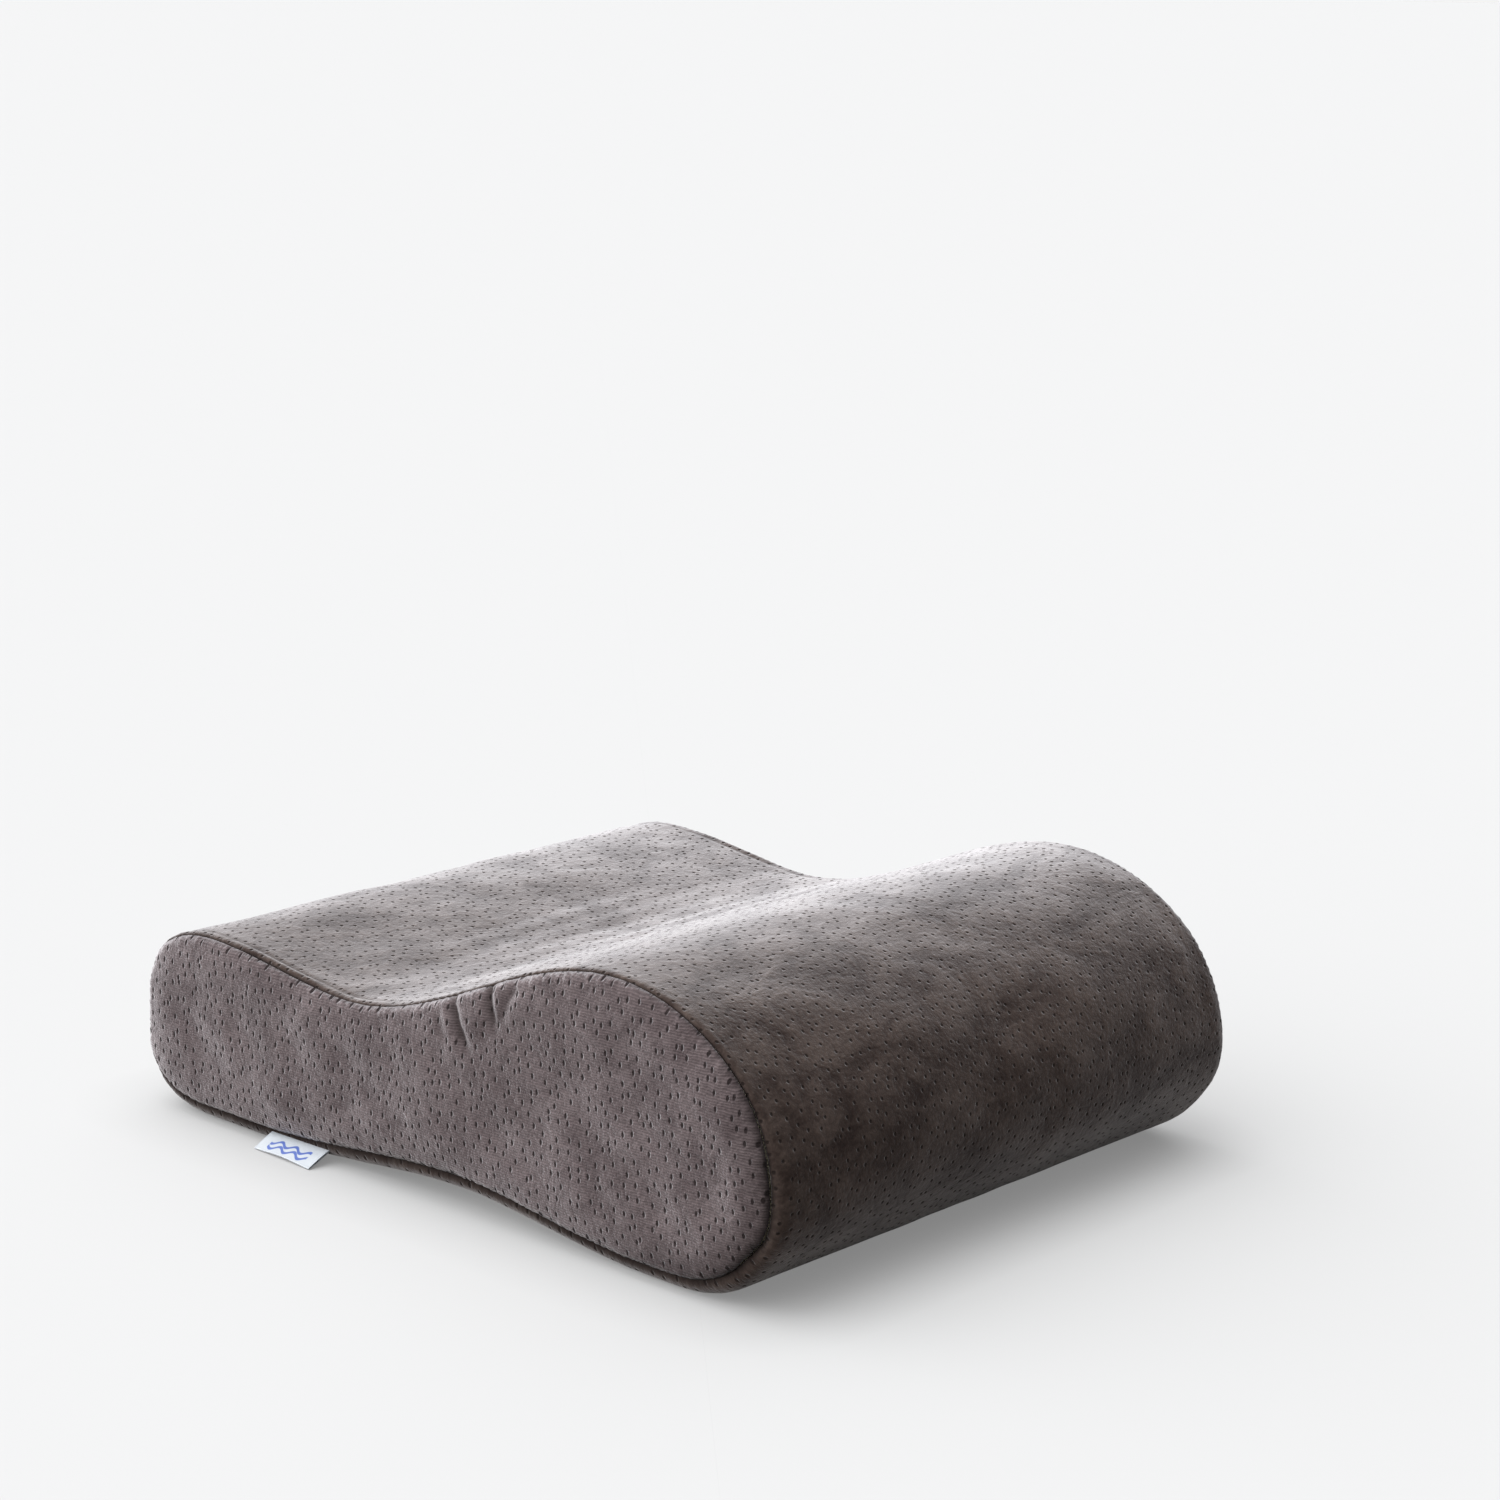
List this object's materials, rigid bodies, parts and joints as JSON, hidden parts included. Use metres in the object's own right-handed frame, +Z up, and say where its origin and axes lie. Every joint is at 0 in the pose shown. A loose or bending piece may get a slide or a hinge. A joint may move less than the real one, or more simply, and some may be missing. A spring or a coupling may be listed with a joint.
{
  "type": "contoured camp pillow",
  "caption": "Travel-size contoured foam pillow with a high and a low lobe, in a velour cover with sewn end panels and a zip across the back.",
  "frame": {"origin": "middle of the base, on the surface that the pillow lies on", "axes": "+X along the two lobes, +Y from the high lobe to the low lobe, +Z up"},
  "size_m": [0.2534, 0.3106, 0.1],
  "materials": {
    "foam": "cream open-cell memory foam",
    "wrap_velour": "taupe short-pile velour with a soft sheen and small pin dimples",
    "end_velour": "taupe velour seen across the pile, with fine ribs and pin dimples",
    "thread": "dark polyester sewing thread",
    "zip_tape": "woven polyester zip tape",
    "zip_teeth": "moulded nylon coil",
    "zip_stop": "pressed metal stop",
    "zip_metal": "dark lacquered zinc",
    "label": "white woven satin with a plain blue wave"
  },
  "bodies": {
    "cover": {"foam_core": "foam", "wrap_panel": "wrap_velour", "end_panel_left": "end_velour", "end_panel_right": "end_velour", "seam_thread_left": "thread", "seam_thread_right": "thread", "zip_bartack_left": "thread", "zip_bartack_right": "thread", "zip_tape_lower": "zip_tape", "zip_tape_upper": "zip_tape", "zip_teeth_lower": "zip_teeth", "zip_teeth_upper": "zip_teeth", "zip_top_stop_lower": "zip_stop", "zip_top_stop_upper": "zip_stop", "zip_stitch_lower": "thread", "zip_stitch_upper": "thread", "zip_bottom_stop": "zip_stop", "side_label": "label"},
    "slider": {"zip_slider": "zip_metal"},
    "pull": {"zip_pull": "zip_metal"}
  },
  "joints": [
    {"name": "zip_slide", "type": "slide", "parent": "cover", "child": "slider", "axis": [1, 0, 0], "range_m": [-0.1848, 0]},
    {"name": "zip_pull_swing", "type": "hinge", "parent": "slider", "child": "pull", "pos_m": [0.0942, 0.1542, 0.032], "axis": [0, 0, -1], "range_deg": [0, 150]}
  ]
}
